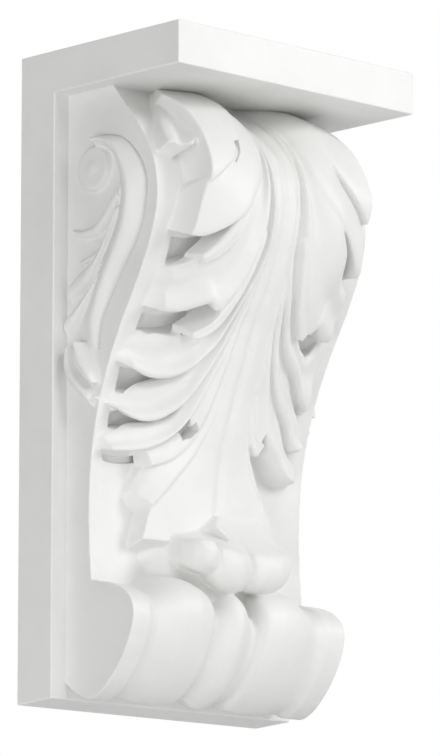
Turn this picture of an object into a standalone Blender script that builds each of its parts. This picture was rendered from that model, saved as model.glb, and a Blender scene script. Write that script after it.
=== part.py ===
"""Console bracket: a moulded corbel with an acanthus leaf over an S-shaped body.

The bracket hangs on a wall. The wall is the plane Y = 0, the front looks towards -Y, X runs across the
bracket and Z is up. The origin is the middle of the back face.

Sizes below are in millimetres. A place on the bracket is (x, depth, z): depth is the distance from the
wall and z the height above the lowest edge. `at` turns it into Blender's metres.
"""

from math import cos, pi, radians, sin

import bmesh
import bpy
from mathutils import Vector

MM = 0.001

# Driving dimensions
HEIGHT = 300.0
WIDTH = 151.0
SLAB_DEPTH = 106.0
SLAB_THICK = 20.0
PLATE_THICK = 23.0
PLATE_DRAFT = 1.5  # the plate's underside rises this much towards its front
BODY_WIDTH = 133.5
BODY_TOP_DEPTH = 53.0
BELLY_DEPTH = 83.0
BELLY_Z = 226.0
WAIST_DEPTH = 38.3
WAIST_Z = 86.0
VOLUTE_TOP = (40.0, 54.0)  # depth and z of the sharp corner where the body meets the volute
VOLUTE_NOSE = (68.0, 37.0)
VOLUTE_BOTTOM = (41.0, 0.8)
SINK = 3.0  # how deep the carving runs into the body, for the Boolean union

HALF = BODY_WIDTH / 2
SLAB_UNDER = HEIGHT - SLAB_THICK


def at(x, depth, z):
    return Vector((x, -depth, z - HEIGHT / 2)) * MM


# ---------------------------------------------------------------- curves


def mix(a, b, t):
    return a + (b - a) * t


def ease(t):
    t = min(max(t, 0.0), 1.0)
    return t * t * (3 - 2 * t)


def bezier(p0, p1, p2, p3, steps):
    """Points of a cubic curve, without its last point."""
    points = []
    for i in range(steps):
        t = i / steps
        w = ((1 - t) ** 3, 3 * t * (1 - t) ** 2, 3 * t * t * (1 - t), t**3)
        points.append(tuple(sum(k * p[c] for k, p in zip(w, (p0, p1, p2, p3))) for c in (0, 1)))
    return points


def spline(points, t):
    """A point of the smooth curve through the given points, t from 0 to 1 by their spacing."""
    spans = [((q[0] - p[0]) ** 2 + (q[1] - p[1]) ** 2) ** 0.5 for p, q in zip(points, points[1:])]
    reach = t * sum(spans)
    k = 0
    while k < len(spans) - 1 and reach > spans[k]:
        reach -= spans[k]
        k += 1
    u = min(reach / spans[k], 1.0)
    p1, p2 = points[k], points[k + 1]
    p0 = points[k - 1] if k else p1
    p3 = points[k + 2] if k + 2 < len(points) else p2
    out = []
    for c in (0, 1):
        m1, m2 = (p2[c] - p0[c]) / 2, (p3[c] - p1[c]) / 2
        a = 2 * u**3 - 3 * u**2 + 1
        b = u**3 - 2 * u**2 + u
        d = -2 * u**3 + 3 * u**2
        e = u**3 - u**2
        out.append(a * p1[c] + b * m1 + d * p2[c] + e * m2)
    return tuple(out)


def table(rows, x):
    """A value read smoothly between (x, value) rows that rise in x."""
    if x <= rows[0][0]:
        return rows[0][1]
    for (x0, v0), (x1, v1) in zip(rows, rows[1:]):
        if x <= x1:
            return mix(v0, v1, ease((x - x0) / (x1 - x0)))
    return rows[-1][1]


def front_curve(steps):
    """The S of the body, from the slab down to the corner above the volute, as (depth, z)."""
    top = (BODY_TOP_DEPTH, SLAB_UNDER)
    belly = (BELLY_DEPTH, BELLY_Z)
    bend = (58.6, 168.0)
    waist = (WAIST_DEPTH, WAIST_Z)
    return (
        bezier(top, (66.1, 263.4), (BELLY_DEPTH, BELLY_Z + 24.6), belly, steps)
        + bezier(belly, (BELLY_DEPTH, BELLY_Z - 19.8), (66.9, 183.5), bend, steps)
        + bezier(bend, (44.8, 142.1), (WAIST_DEPTH, WAIST_Z + 31.8), waist, steps)
        + bezier(waist, (WAIST_DEPTH, WAIST_Z - 12), (39.2, VOLUTE_TOP[1] + 8), VOLUTE_TOP, 2)
    )


def volute_curve(steps):
    """The end of the volute, from its top corner round the nose to the wall plate."""
    return (
        bezier(VOLUTE_TOP, (55.0, 52.0), (VOLUTE_NOSE[0], 48.5), VOLUTE_NOSE, steps)
        + bezier(VOLUTE_NOSE, (VOLUTE_NOSE[0], 25.0), (53.0, 4.0), VOLUTE_BOTTOM, steps)
        + bezier(VOLUTE_BOTTOM, (36.0, -0.5), (28.0, 5.0), (PLATE_THICK - 1, 9.5), 4)
    )


FRONT = front_curve(40) + [VOLUTE_TOP]


def body_depth(z):
    for (d0, z0), (d1, z1) in zip(FRONT, FRONT[1:]):
        if z >= z1:
            return mix(d0, d1, (z0 - z) / (z0 - z1)) if z <= z0 else d0
    return FRONT[-1][0]


def on_front(x, z, height):
    """A place above the body's front, height measured square to its surface."""
    slope = (body_depth(z + 1.5) - body_depth(z - 1.5)) / 3
    length = (1 + slope * slope) ** 0.5
    return at(x, body_depth(z) + height / length, z - height * slope / length)


def on_side(side):
    """Places on the body's flat end, at x = side * HALF: (depth, z) and the height out of it."""
    return lambda depth, z, height: at(side * (HALF + height), depth, z)


# ---------------------------------------------------------------- shapes


def loft(mesh, rings):
    """One closed shell through rings of equal length, capped at both ends."""
    verts = [[mesh.verts.new(p) for p in ring] for ring in rings]
    count = len(rings[0])
    for a, b in zip(verts, verts[1:]):
        for i in range(count):
            j = (i + 1) % count
            mesh.faces.new((a[i], a[j], b[j], b[i]))
    mesh.faces.new(reversed(verts[0]))
    mesh.faces.new(verts[-1])


TIP_LEFT = 0.12  # share of a tongue's height left at the foot of its sloped tip


def tongue(mesh, place, upper, lower, height, rows, across, reach=0.0, lean=0.0):
    """A tongue of carving between two edge curves. height(t, w, p, q) is its surface, w from upper to lower.

    Its tip face slopes out by `reach` and its lower wall by `lean`.
    """
    lines = []
    for i in range(rows + 1):
        t = i / rows
        lines.append((t, spline(upper, t), spline(lower, t), 1.0))
    if reach:
        ends = []
        for k in (1, 2):
            (p0, q0), (p1, q1) = lines[-2][k], lines[-1][k]
            far = reach / ((p1 - p0) ** 2 + (q1 - q0) ** 2) ** 0.5
            ends.append((p1 + (p1 - p0) * far, q1 + (q1 - q0) * far))
        lines.append((1.0, *ends, TIP_LEFT))
    rings = []
    for t, u, v, part in lines:
        ring = []
        for w in across:
            p, q = mix(u[0], v[0], w), mix(u[1], v[1], w)
            ring.append(place(p, q, part * height(t, w, p, q)))
        width = ((v[0] - u[0]) ** 2 + (v[1] - u[1]) ** 2) ** 0.5
        out = 1 + min(lean / width, 1)
        ring.append(place(mix(u[0], v[0], out), mix(u[1], v[1], out), -SINK))
        ring.append(place(u[0], u[1], -SINK))
        rings.append(ring)
    loft(mesh, rings)


def prism(mesh, outline, x0, x1):
    loft(mesh, [[at(x, d, z) for d, z in outline] for x in (x0, x1)])


# ---------------------------------------------------------------- the leaf

# Rows are (z, height): how far the leaf stands off the body along its middle, over its shoulder and at
# its outer edge, and how far out that edge lies.
MIDDLE_RISE = [(75, 14.5), (95, 14.5), (115, 15), (141, 17), (163, 16.5), (183, 13.8), (207, 13.8),
               (235, 15.5), (255, 13.5), (268, 10), (280, 4)]
SHOULDER_RISE = [(75, 11), (95, 12), (118, 15), (135, 17), (158, 17.3), (180, 17.5), (212, 20.5), (240, 21),
                 (256, 19), (270, 13), (280, 6)]
EDGE_RISE = [(72, 7), (95, 8), (113, 4.5), (130, 6), (150, 5), (176, 4), (192, 10), (208, 12.5),
             (222, 15.5), (234, 20), (250, 17.5), (262, 14), (272, 9), (280, 4)]
EDGE_OUT = [(72, 45), (95, 48), (110, 60), (176, 62), (192, 58), (208, 57), (225, 51), (280, 50)]
SHOULDER_OUT = 30.0


def rise(a, z):
    """The leaf's envelope: height over the body at distance a from the middle plane."""
    if a < SHOULDER_OUT:
        return mix(table(MIDDLE_RISE, z), table(SHOULDER_RISE, z), ease(a / SHOULDER_OUT))
    t = min((a - SHOULDER_OUT) / (table(EDGE_OUT, z) - SHOULDER_OUT), 1.1)
    return mix(table(SHOULDER_RISE, z), table(EDGE_RISE, z), max(t, 0) ** 1.3)


# Each lobe lies between an upper edge and its lip, as (distance from the middle, z), from its root in the
# bundle beside the midrib to its tip. `fold` is how far its upper edge lies below the envelope at the
# root and at the tip, `groove` the depth of its channel at the root and the tip, `lip` how far the lip
# is rounded down, and `lift` moves the whole lobe up or down.
LOBES = {
    "crown": dict(
        upper=[(20, 283), (30, 282), (42, 280), (50.5, 270)],
        lower=[(21, 277), (25, 266), (29.5, 255), (32.5, 248), (36, 241.5), (43, 236.5), (50.6, 229)],
        fold=(0.5, 1), groove=(0.5, 0), lip=0.3,
    ),
    "crown_leaflet": dict(
        upper=[(46, 273), (51, 264), (55.5, 257.5), (58, 252), (58.5, 247)],
        lower=[(42, 274), (45, 266), (48, 258), (50.5, 251), (53, 244.5)],
        fold=(8, 13), groove=(-1.5, -1.5), lip=1.5, lift=-2.5,
    ),
    "shoulder": dict(
        upper=[(20, 281), (24, 270), (29, 260), (32, 252), (37, 246), (44, 241), (51, 231)],
        lower=[(20, 280), (19.5, 264), (20, 250), (21, 239), (23.5, 229), (28, 222), (34, 218), (41, 214),
               (49, 210.5), (55, 210)],
        fold=(2, 3), groove=(1, 0.5), lip=0.5, reach=3,
    ),
    "upper_leaflet": dict(
        upper=[(20.5, 252), (22, 243), (24.5, 233), (28, 226), (33, 218.5), (41, 211.5), (50, 206.5)],
        lower=[(19, 248), (20.5, 234), (25, 221), (32, 212.5), (40, 206), (49, 201.5)],
        fold=(2, 1), groove=(0.3, 0.3), lip=0.5, lift=-0.5, reach=2,
    ),
    "upper": dict(
        upper=[(20.5, 281), (20, 266), (20, 250), (21, 238), (23.5, 226), (29, 214), (37, 205), (46, 200),
               (53.5, 196)],
        lower=[(14, 280), (14, 262), (13.5, 246), (13, 236), (13.5, 222), (15.5, 208), (18.5, 198.4), (22, 191),
               (26, 185.5), (30, 185), (34, 187), (39, 184.2), (46, 180), (53.5, 178.3)],
        fold=(1.5, 3), groove=(1.8, 2.2), lip=0.6, reach=5,
    ),
    "middle_leaflet": dict(
        upper=[(15.5, 212), (19, 199), (23, 188), (28, 180.5), (33, 178), (39, 178.5), (46, 175)],
        lower=[(15, 200), (19, 187), (24, 178.5), (30, 173), (37, 170.5), (43.5, 170)],
        fold=(2, 1), groove=(0.3, 0.3), lip=0.5, lift=0.4, reach=2,
    ),
    "middle": dict(
        upper=[(14.5, 281), (14.5, 262), (13.8, 246), (13.5, 232), (14.5, 214), (18, 199), (23, 186), (29, 175),
               (38, 169.5), (48, 168), (59, 165)],
        lower=[(11, 280), (11.5, 262), (11, 248), (10, 232), (10, 216), (11.5, 202), (14.8, 189.6), (18.6, 180.8),
               (22.5, 172.5), (27.5, 165), (33.5, 158.3), (41, 151.8), (49.5, 148.8), (57.5, 149)],
        fold=(1.5, 5), groove=(1.6, 2.2), lip=0.6, reach=6,
    ),
    "lower": dict(
        upper=[(9.5, 216), (11, 203), (14.5, 190.5), (18.5, 181.5), (23, 172), (29, 163), (36, 156), (45, 149),
               (60, 139)],
        lower=[(8, 206), (10, 193), (13, 182), (16.5, 172), (20, 161), (24, 151.5), (28, 145), (32, 140.3),
               (36.5, 135.5), (41, 131.5), (46, 128.8), (52, 127.5), (57.8, 129)],
        fold=(1.5, 3), groove=(1.6, 2), lip=0.6, reach=5,
    ),
    "low": dict(
        upper=[(8.5, 200), (12, 185), (16, 173.5), (20, 162), (25, 151), (31, 142), (38, 134.5), (48, 127.5),
               (61.2, 122)],
        lower=[(7.5, 190), (10, 177), (13.5, 165), (17, 154.5), (20.5, 143.5), (25, 134.5), (29, 128.5),
               (33.5, 123.5), (38, 120), (44, 116.6), (52, 114.4), (59.7, 113.4)],
        fold=(1.5, 2.5), groove=(1.4, 1.5), lip=0.6, reach=3,
    ),
    "inner_leaflet": dict(
        upper=[(8, 182), (11.5, 168), (15.5, 155), (20, 144), (25, 134)],
        lower=[(8, 172), (10, 158), (12.5, 146), (15.5, 135), (20, 124)],
        fold=(1.5, 1), groove=(0.5, 0.5), lip=1,
    ),
    "foot_leaflet": dict(
        upper=[(16, 134), (21, 127), (27, 121), (34, 117.5), (41, 115)],
        lower=[(16, 124), (21, 118), (27, 113.5), (33, 110.5), (40, 107)],
        fold=(2, 1.5), groove=(0.2, 0.2), lip=1, lift=-1.5,
    ),
    "foot": dict(
        upper=[(9, 147), (13, 134), (18, 125), (25, 114.5), (34, 111), (42, 103), (47, 95)],
        lower=[(7, 139), (10, 130.5), (14.5, 121.5), (19, 114.5), (23.5, 108.5), (28, 102.5), (33, 96.5),
               (37.6, 89.8)],
        fold=(2, 2), groove=(0.8, 1), lip=0.6, reach=3,
    ),
    "tip": dict(
        upper=[(13, 281), (13, 262), (12, 248), (10.5, 232), (9.5, 215), (9.5, 200), (11, 184), (12.5, 168),
               (12.5, 152), (13, 138), (15.5, 122), (23, 109), (32, 97), (38.5, 88), (43, 72)],
        lower=[(0.5, 281), (0.5, 262), (0.5, 247), (0.5, 232), (0.5, 217), (0.5, 202), (0.5, 187), (0.5, 172),
               (0.5, 157), (0.5, 142), (0.5, 127), (0.5, 112), (0.5, 98), (0.5, 86), (0.5, 74)],
        fold=(1.5, 1.5), groove=(0.8, 0.3), lip=1.8,
    ),
}

ACROSS = (0, 0.18, 0.45, 0.7, 0.9, 1)


def lobe_height(lobe):
    """The lobe's surface: it rises from its folded upper edge, dips along a channel and turns down at its lip."""
    fold, groove = lobe["fold"], lobe["groove"]
    lift = lobe.get("lift", 0)

    def height(t, w, a, z):
        drop = mix(fold[0], fold[1], ease(t)) * (1 - sin(pi / 2 * w)) ** 1.4
        channel = mix(groove[0], groove[1], ease(t)) * ease(4 * t) * sin(pi * min(w / 0.85, 1)) ** 2
        return rise(a, z) + lift - drop - channel - lobe["lip"] * max((w - 0.8) / 0.2, 0) ** 2

    return height


def leaf(mesh, side):
    for lobe in LOBES.values():
        rows = max(5, len(lobe["lower"]) - 1)
        tongue(mesh, lambda a, z, h: on_front(side * a, z, h), lobe["upper"], lobe["lower"],
               lobe_height(lobe), rows, ACROSS, lobe.get("reach", 0), 1.5)


# The leaf's ground between its lobes: (z, half width).
GROUND = [(281, 28), (266, 27), (250, 27), (238, 25), (225, 23), (210, 21), (195, 19), (180, 18), (165, 17),
          (150, 16), (135, 15), (120, 15), (105, 19), (92, 27), (82, 33), (74, 36)]
GROUND_DROP = 3.2  # how far it lies below the envelope
GROUND_SINK = 2.5
GROUND_ACROSS = (-1, -0.6, -0.25, 0, 0.25, 0.6, 1)


def ground(mesh):
    rings = []
    for z, half in GROUND:
        ring = []
        for u in GROUND_ACROSS:
            ring.append(on_front(half * u, z, rise(half * abs(u), z) - GROUND_DROP))
        rings.append(ring + [on_front(half, z, -GROUND_SINK), on_front(-half, z, -GROUND_SINK)])
    loft(mesh, rings)


# The leaf's tip curls over into a row of knuckles. Rows are (distance from the middle, depth, z, size
# along depth, size along z) of the curl's round section.
CURL = [(0, 60.5, 63.2, 9.8, 10.8), (3.5, 60.5, 63.6, 9.5, 10.4), (6.5, 60, 64.5, 8.2, 9),
        (9.5, 60.3, 65.8, 9.3, 9.4), (15, 60.3, 67, 9.5, 9.6), (19.5, 60, 68, 8.4, 8.4),
        (23, 60, 68.5, 9.2, 8.8), (28, 59.5, 69, 9.3, 8.6), (32, 58, 69.5, 8, 7.4), (35, 55.5, 70, 4.5, 4)]
# The neck above it, as (depth before the section's middle, sizes above it).
NECK = [(-3.8, 1.22), (-7, 1.95), (-10, 2.7)]
CURL_ROOT = 37  # depth at which the curl ends inside the body
CURL_ARC = [radians(-115 + 26 * i) for i in range(8)]


def curl(mesh):
    stations = [(-a, *row) for a, *row in reversed(CURL)] + CURL[1:]
    rings = []
    for x, depth, z, along, up in stations:
        ring = [at(x, CURL_ROOT, z - 0.5 * up)]
        for turn in CURL_ARC:
            ring.append(at(x, depth + along * cos(turn), z + up * sin(turn)))
        for before, above in NECK:
            ring.append(at(x, depth + before, z + up * above))
        ring.append(at(x, CURL_ROOT, z + up * NECK[-1][1]))
        rings.append(ring)
    loft(mesh, rings)


# Rows of the ground under the curled tip: (z, half width, height off the body).
THROAT = [(82, 30, 10), (74, 38, 9), (67, 37, 8), (61, 34, 8), (55, 35, 9), (49, 37, 10)]
THROAT_SINK = 4.0
THROAT_ACROSS = (-1, -0.9, -0.5, -0.2, 0.2, 0.5, 0.9, 1)


def throat(mesh):
    rings = []
    for z, half, height in THROAT:
        ring = []
        for u in THROAT_ACROSS:
            swell = 1 - abs(u) ** 6 + 0.45 * ease(1 - 2 * abs(u))
            ring.append(on_front(half * u, z, height * swell))
        rings.append(ring + [on_front(half, z, -THROAT_SINK), on_front(-half, z, -THROAT_SINK)])
    loft(mesh, rings)


# ---------------------------------------------------------------- the volute

# Across the roll, from its end to its middle: (distance from the middle, growth away from the underside,
# size about its own axis). A flat rim, a barrel that swells, a deep groove and a ridged strap.
ROLL = [(HALF, 1, 1), (57.5, 1, 1), (54.5, 1, 0.955), (50.5, 1, 0.92), (46, 1.02, 0.945), (40.5, 1.06, 0.985),
        (34, 1.1, 1), (27.5, 1.11, 1), (22.5, 1.09, 0.985), (18, 1.05, 0.94), (14, 1.01, 0.87), (11, 1, 0.84),
        (7, 1.02, 0.9), (3, 1.05, 0.98), (0, 1.07, 1)]
ROLL_AXIS = (44.0, 26.0)
ROLL_BACK = [(PLATE_THICK - 4, 14), (PLATE_THICK, 48)]  # where the roll ends in the plate


def roll(mesh):
    stations = [(-a, g, k) for a, g, k in ROLL] + [(a, g, k) for a, g, k in reversed(ROLL[:-1])]
    rings = []
    for x, grow, size in stations:
        ring = []
        for point in volute_curve(6):
            place = []
            for c in (0, 1):
                grown = VOLUTE_BOTTOM[c] + (point[c] - VOLUTE_BOTTOM[c]) * grow
                place.append(ROLL_AXIS[c] + (grown - ROLL_AXIS[c]) * size)
            ring.append(at(x, *place))
        ring += [at(x, *place) for place in ROLL_BACK]
        rings.append(ring)
    loft(mesh, rings)


# ---------------------------------------------------------------- the side scrolls

# Strips of the relief on the body's flat ends, between two edges given as (depth, z) from root to tip.
SCROLL = {
    "band": dict(
        upper=[(44, 257.5), (52, 256.8), (60.5, 254), (68, 247), (73.5, 238), (74.9, 229), (72.5, 215),
               (66.7, 203.7), (58, 192), (50, 180), (45, 170), (43.5, 159)],
        lower=[(44, 252), (50, 251), (55, 247), (58, 240), (59, 231), (57.5, 221), (53, 211), (47, 202),
               (41.5, 192), (36.5, 181), (33.5, 171), (38, 161)],
        heights=(1, 5, 3.5, 1.5),
    ),
    "frond_1": dict(
        upper=[(60, 233), (53, 226), (46, 217.8), (39, 215), (33, 215), (28, 216.5)],
        lower=[(60, 224), (53, 216.4), (45, 211), (37, 210.8), (31, 212.3), (28.5, 214)],
        heights=(1, 3, 2),
    ),
    "frond_2": dict(
        upper=[(60, 227), (54, 213), (47, 204), (39.4, 198.9), (30, 193.7), (25, 190)],
        lower=[(58, 214), (50, 202), (44, 193.5), (38, 188), (30, 184.4), (25.5, 182)],
        heights=(1, 3, 2.5, 1.5),
    ),
    "frond_3": dict(
        upper=[(51, 202), (45, 191), (37, 184), (28, 178.3), (23, 175)],
        lower=[(47, 193), (40, 182), (34, 175.5), (27, 169.5), (23, 167)],
        heights=(1, 3, 2.5, 1),
    ),
    "husk_1": dict(
        upper=[(34, 163), (38, 156), (41.3, 150), (42.3, 144)],
        lower=[(29.5, 162), (30.5, 153), (34.5, 147.5), (40, 142.5)],
        heights=(1, 5, 4, 1),
    ),
    "husk_2": dict(
        upper=[(30, 160), (31, 151), (35, 146), (39, 140)],
        lower=[(23.5, 160), (23.2, 151), (27.5, 143.5), (37.5, 134)],
        heights=(1, 4, 3.5, 1),
    ),
}
EYE = dict(depth=42.5, z=242.5, rows=[(11, -1), (9.5, 3.2), (6, 1.8), (3.5, 4), (0, 4.6)])
EYE_SIDES = 14


def scroll(mesh, side):
    for strip in SCROLL.values():
        heights = strip["heights"]
        last = len(heights) - 1
        across = [i / last for i in range(last + 1)]

        def height(t, w, depth, z):
            return heights[round(w * last)] * (1 - 0.5 * t**4)

        rows = max(5, len(strip["upper"]))
        tongue(mesh, on_side(side), strip["upper"], strip["lower"], height, rows, across)
    rings = []
    for radius, height in EYE["rows"]:
        ring = []
        for i in range(EYE_SIDES):
            turn = 2 * pi * i / EYE_SIDES
            ring.append(on_side(side)(EYE["depth"] + radius * cos(turn), EYE["z"] + radius * sin(turn), height))
        rings.append(ring)
    verts = [[mesh.verts.new(p) for p in ring] for ring in rings[:-1]]
    top = mesh.verts.new(rings[-1][0])
    for a, b in zip(verts, verts[1:]):
        for i in range(EYE_SIDES):
            mesh.faces.new((a[i], a[(i + 1) % EYE_SIDES], b[(i + 1) % EYE_SIDES], b[i]))
    for i in range(EYE_SIDES):
        mesh.faces.new((verts[-1][i], verts[-1][(i + 1) % EYE_SIDES], top))
    mesh.faces.new(reversed(verts[0]))


# ---------------------------------------------------------------- build


def frame(mesh):
    half = WIDTH / 2
    prism(mesh, [(0, 0), (PLATE_THICK, PLATE_DRAFT), (PLATE_THICK, SLAB_UNDER), (SLAB_DEPTH, SLAB_UNDER),
                 (SLAB_DEPTH, HEIGHT), (0, HEIGHT)], -half, half)


BODY_INTO = 5.0  # how far the body runs into the slab and the plate
BODY_FOOT = (45.0, 32.0)  # its lowest front edge, inside the volute


def body(mesh):
    top, back = SLAB_UNDER + BODY_INTO, PLATE_THICK - BODY_INTO
    outline = [(back, top), (BODY_TOP_DEPTH - 2, top)]
    outline += front_curve(8) + [VOLUTE_TOP, BODY_FOOT, (back, 20)]
    prism(mesh, outline, -HALF, HALF)


def both(make):
    def build(mesh):
        for side in (-1, 1):
            make(mesh, side)

    return build


def new_object(name, make, collection):
    mesh = bmesh.new()
    make(mesh)
    bmesh.ops.recalc_face_normals(mesh, faces=mesh.faces)
    data = bpy.data.meshes.new(name)
    mesh.to_mesh(data)
    mesh.free()
    obj = bpy.data.objects.new(name, data)
    collection.objects.link(obj)
    return obj


def plaster_white():
    """White primed polyurethane, satin."""
    material = bpy.data.materials.new("primed_white")
    material.use_nodes = True
    shader = material.node_tree.nodes["Principled BSDF"]
    shader.inputs["Base Color"].default_value = (0.86, 0.86, 0.85, 1)
    shader.inputs["Roughness"].default_value = 0.55
    shader.inputs["Metallic"].default_value = 0
    return material


def main():
    for obj in list(bpy.data.objects):
        bpy.data.objects.remove(obj)
    scene = bpy.context.scene
    bracket = new_object("console_bracket", frame, scene.collection)
    carving = bpy.data.collections.new("carving")
    scene.collection.children.link(carving)
    shapes = {"body": body, "roll": roll, "curl": curl, "throat": throat, "ground": ground,
              "leaf": both(leaf), "scroll": both(scroll)}
    for name, make in shapes.items():
        helper = new_object(name, make, carving)
        helper.data.shade_smooth()
        helper.data.set_sharp_from_angle(angle=radians(35))
        helper.hide_render = True
        helper.display_type = "WIRE"
    union = bracket.modifiers.new("Carving", "BOOLEAN")
    union.operation = "UNION"
    union.operand_type = "COLLECTION"
    union.collection = carving
    union.solver = "EXACT"
    union.use_self = True
    bracket.data.materials.append(plaster_white())


main()
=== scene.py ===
from math import cos, exp, pi, radians, sin, sqrt
import bmesh
import bpy
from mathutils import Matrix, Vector


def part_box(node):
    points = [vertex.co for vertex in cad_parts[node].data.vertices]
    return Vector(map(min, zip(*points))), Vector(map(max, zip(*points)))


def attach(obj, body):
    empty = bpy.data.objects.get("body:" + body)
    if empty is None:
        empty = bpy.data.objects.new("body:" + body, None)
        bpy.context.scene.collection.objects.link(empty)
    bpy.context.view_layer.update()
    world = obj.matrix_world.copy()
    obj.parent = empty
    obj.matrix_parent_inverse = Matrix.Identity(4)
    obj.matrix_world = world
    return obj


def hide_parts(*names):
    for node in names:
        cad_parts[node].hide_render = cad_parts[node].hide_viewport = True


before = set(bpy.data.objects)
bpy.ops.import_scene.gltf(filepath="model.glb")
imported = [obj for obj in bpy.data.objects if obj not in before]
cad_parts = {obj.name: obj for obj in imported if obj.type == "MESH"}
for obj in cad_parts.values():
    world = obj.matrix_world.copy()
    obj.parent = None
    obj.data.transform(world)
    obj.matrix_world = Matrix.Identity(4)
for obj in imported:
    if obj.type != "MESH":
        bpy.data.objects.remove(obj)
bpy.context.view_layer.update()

# The bracket's own measure: 300 units from its foot to the top of its slab
tall = 300
low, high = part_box("console_bracket")
unit = (high.z - low.z) / tall
half = (high.x - low.x) / 2 / unit
slabDepth = (high.y - low.y) / unit


def place(x, depth, z):
    return Vector((x * unit, high.y - depth * unit, low.z + z * unit))


def mix(a, b, t):
    return a + (b - a) * t


def clamp(t):
    return min(max(t, 0.0), 1.0)


def ease(t):
    t = clamp(t)
    return t * t * (3 - 2 * t)


def through(rows, x, column=1):
    # smooth value between rows that rise in their first column, with no overshoot
    if x <= rows[0][0]:
        return rows[0][column]
    if x >= rows[-1][0]:
        return rows[-1][column]
    k = 0
    while x > rows[k + 1][0]:
        k += 1

    def slope(i):
        return (rows[i + 1][column] - rows[i][column]) / (rows[i + 1][0] - rows[i][0])

    def tangent(i):
        if i == 0 or i == len(rows) - 1:
            return slope(0 if i == 0 else i - 1)
        before, after = slope(i - 1), slope(i)
        if before * after <= 0:
            return 0
        return 2 * before * after / (before + after)

    x0, x1 = rows[k][0], rows[k + 1][0]
    span = x1 - x0
    u = (x - x0) / span
    return ((2 * u**3 - 3 * u**2 + 1) * rows[k][column] + (u**3 - 2 * u**2 + u) * span * tangent(k)
            + (3 * u**2 - 2 * u**3) * rows[k + 1][column] + (u**3 - u**2) * span * tangent(k + 1))


def along(points, t):
    # point of the smooth curve through the points, t from 0 to 1 by their spacing
    spans = [sqrt(sum((b - a) ** 2 for a, b in zip(p, q))) for p, q in zip(points, points[1:])]
    reach = t * sum(spans)
    k = 0
    while k < len(spans) - 1 and reach > spans[k]:
        reach -= spans[k]
        k += 1
    u = min(reach / spans[k], 1.0)
    p1, p2 = points[k], points[k + 1]
    p0 = points[k - 1] if k else p1
    p3 = points[k + 2] if k + 2 < len(points) else p2
    c1, c2 = 2 * u**3 - 3 * u**2 + 1, u**3 - 2 * u**2 + u
    c3, c4 = 3 * u**2 - 2 * u**3, u**3 - u**2
    return tuple(c1 * b + c2 * (c - a) / 2 + c3 * c + c4 * (d - b) / 2 for a, b, c, d in zip(p0, p1, p2, p3))


def bezier(p0, p1, p2, p3, steps):
    points = []
    for i in range(steps):
        t = i / steps
        weights = ((1 - t) ** 3, 3 * t * (1 - t) ** 2, 3 * t * t * (1 - t), t**3)
        points.append(tuple(sum(k * p[c] for k, p in zip(weights, (p0, p1, p2, p3))) for c in (0, 1)))
    return points


# Slab and wall plate
mount = {
    "slabThick": 20.0,
    "plateThick": 23.0,
    "plateDraft": 1.5,
    "edge": 0.7,
}
slabUnder = tall - mount["slabThick"]

# Body behind the carving: its points as (depth, z), and the handles of the curves between them
core = {
    "halfWidth": 66.75,
    "topDepth": 53.0,
    "belly": (83.0, 226.0),
    "bend": (58.6, 168.0),
    "waist": (38.3, 86.0),
    "voluteTop": (40.0, 54.0),
    "voluteNose": (68.0, 37.0),
    "voluteFoot": (41.0, 0.8),
    "topHandle": (66.1, 263.4),
    "bellyHandles": (24.6, 19.8),
    "bendHandles": ((66.9, 183.5), (44.8, 142.1)),
    "waistHandles": (31.8, 12),
    "cornerHandle": (39.2, 8),
    "voluteHandles": ((55, 52), (53, 4)),
    "noseHandles": (48.5, 25),
    "backHandles": ((36, -0.5), (28, 5)),
    "backEnd": 9.5,
}


def frontLine(steps):
    top = (core["topDepth"], slabUnder)
    belly, bend, waist, corner = core["belly"], core["bend"], core["waist"], core["voluteTop"]
    bellyUp, bellyDown = core["bellyHandles"]
    bendUp, bendDown = core["bendHandles"]
    waistUp, waistDown = core["waistHandles"]
    cornerDepth, cornerUp = core["cornerHandle"]
    return (bezier(top, core["topHandle"], (belly[0], belly[1] + bellyUp), belly, steps)
            + bezier(belly, (belly[0], belly[1] - bellyDown), bendUp, bend, steps)
            + bezier(bend, bendDown, (waist[0], waist[1] + waistUp), waist, steps)
            + bezier(waist, (waist[0], waist[1] - waistDown), (cornerDepth, corner[1] + cornerUp), corner,
                     steps // 4)
            + [corner])


def voluteLine(steps):
    corner, nose, foot = core["voluteTop"], core["voluteNose"], core["voluteFoot"]
    cornerHandle, footHandle = core["voluteHandles"]
    above, below = core["noseHandles"]
    return (bezier(corner, cornerHandle, (nose[0], above), nose, steps)
            + bezier(nose, (nose[0], below), footHandle, foot, steps)
            + bezier(foot, *core["backHandles"], (mount["plateThick"] - 1, core["backEnd"]), steps // 2))


# Depth of the body every half unit of height, so that each point is found at once
depthAt = []
fine = frontLine(200)
k = len(fine) - 1
for i in range(2 * tall):
    z = i / 2
    while k > 1 and fine[k - 1][1] < z:
        k -= 1
    (d0, z0), (d1, z1) = fine[k - 1], fine[k]
    depthAt.append(mix(d0, d1, clamp((z0 - z) / (z0 - z1))))


def bodyDepth(z):
    i = min(max(2 * z, 0), 2 * tall - 2)
    return mix(depthAt[int(i)], depthAt[int(i) + 1], i - int(i))


def onFront(x, z, height):
    slope = (bodyDepth(z + 2) - bodyDepth(z - 2)) / 4
    length = sqrt(1 + slope * slope)
    return place(x, bodyDepth(z) + height / length, z - height * slope / length)


def onSide(depth, z, height):
    return place(core["halfWidth"] + height, depth, z)


def addInto(mesh, piece):
    bmesh.ops.recalc_face_normals(piece, faces=piece.faces)
    data = bpy.data.meshes.new("piece")
    piece.to_mesh(data)
    piece.free()
    mesh.from_mesh(data)
    bpy.data.meshes.remove(data)


def turnOver(mesh):
    bmesh.ops.scale(mesh, verts=mesh.verts, vec=(-1, 1, 1))


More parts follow.
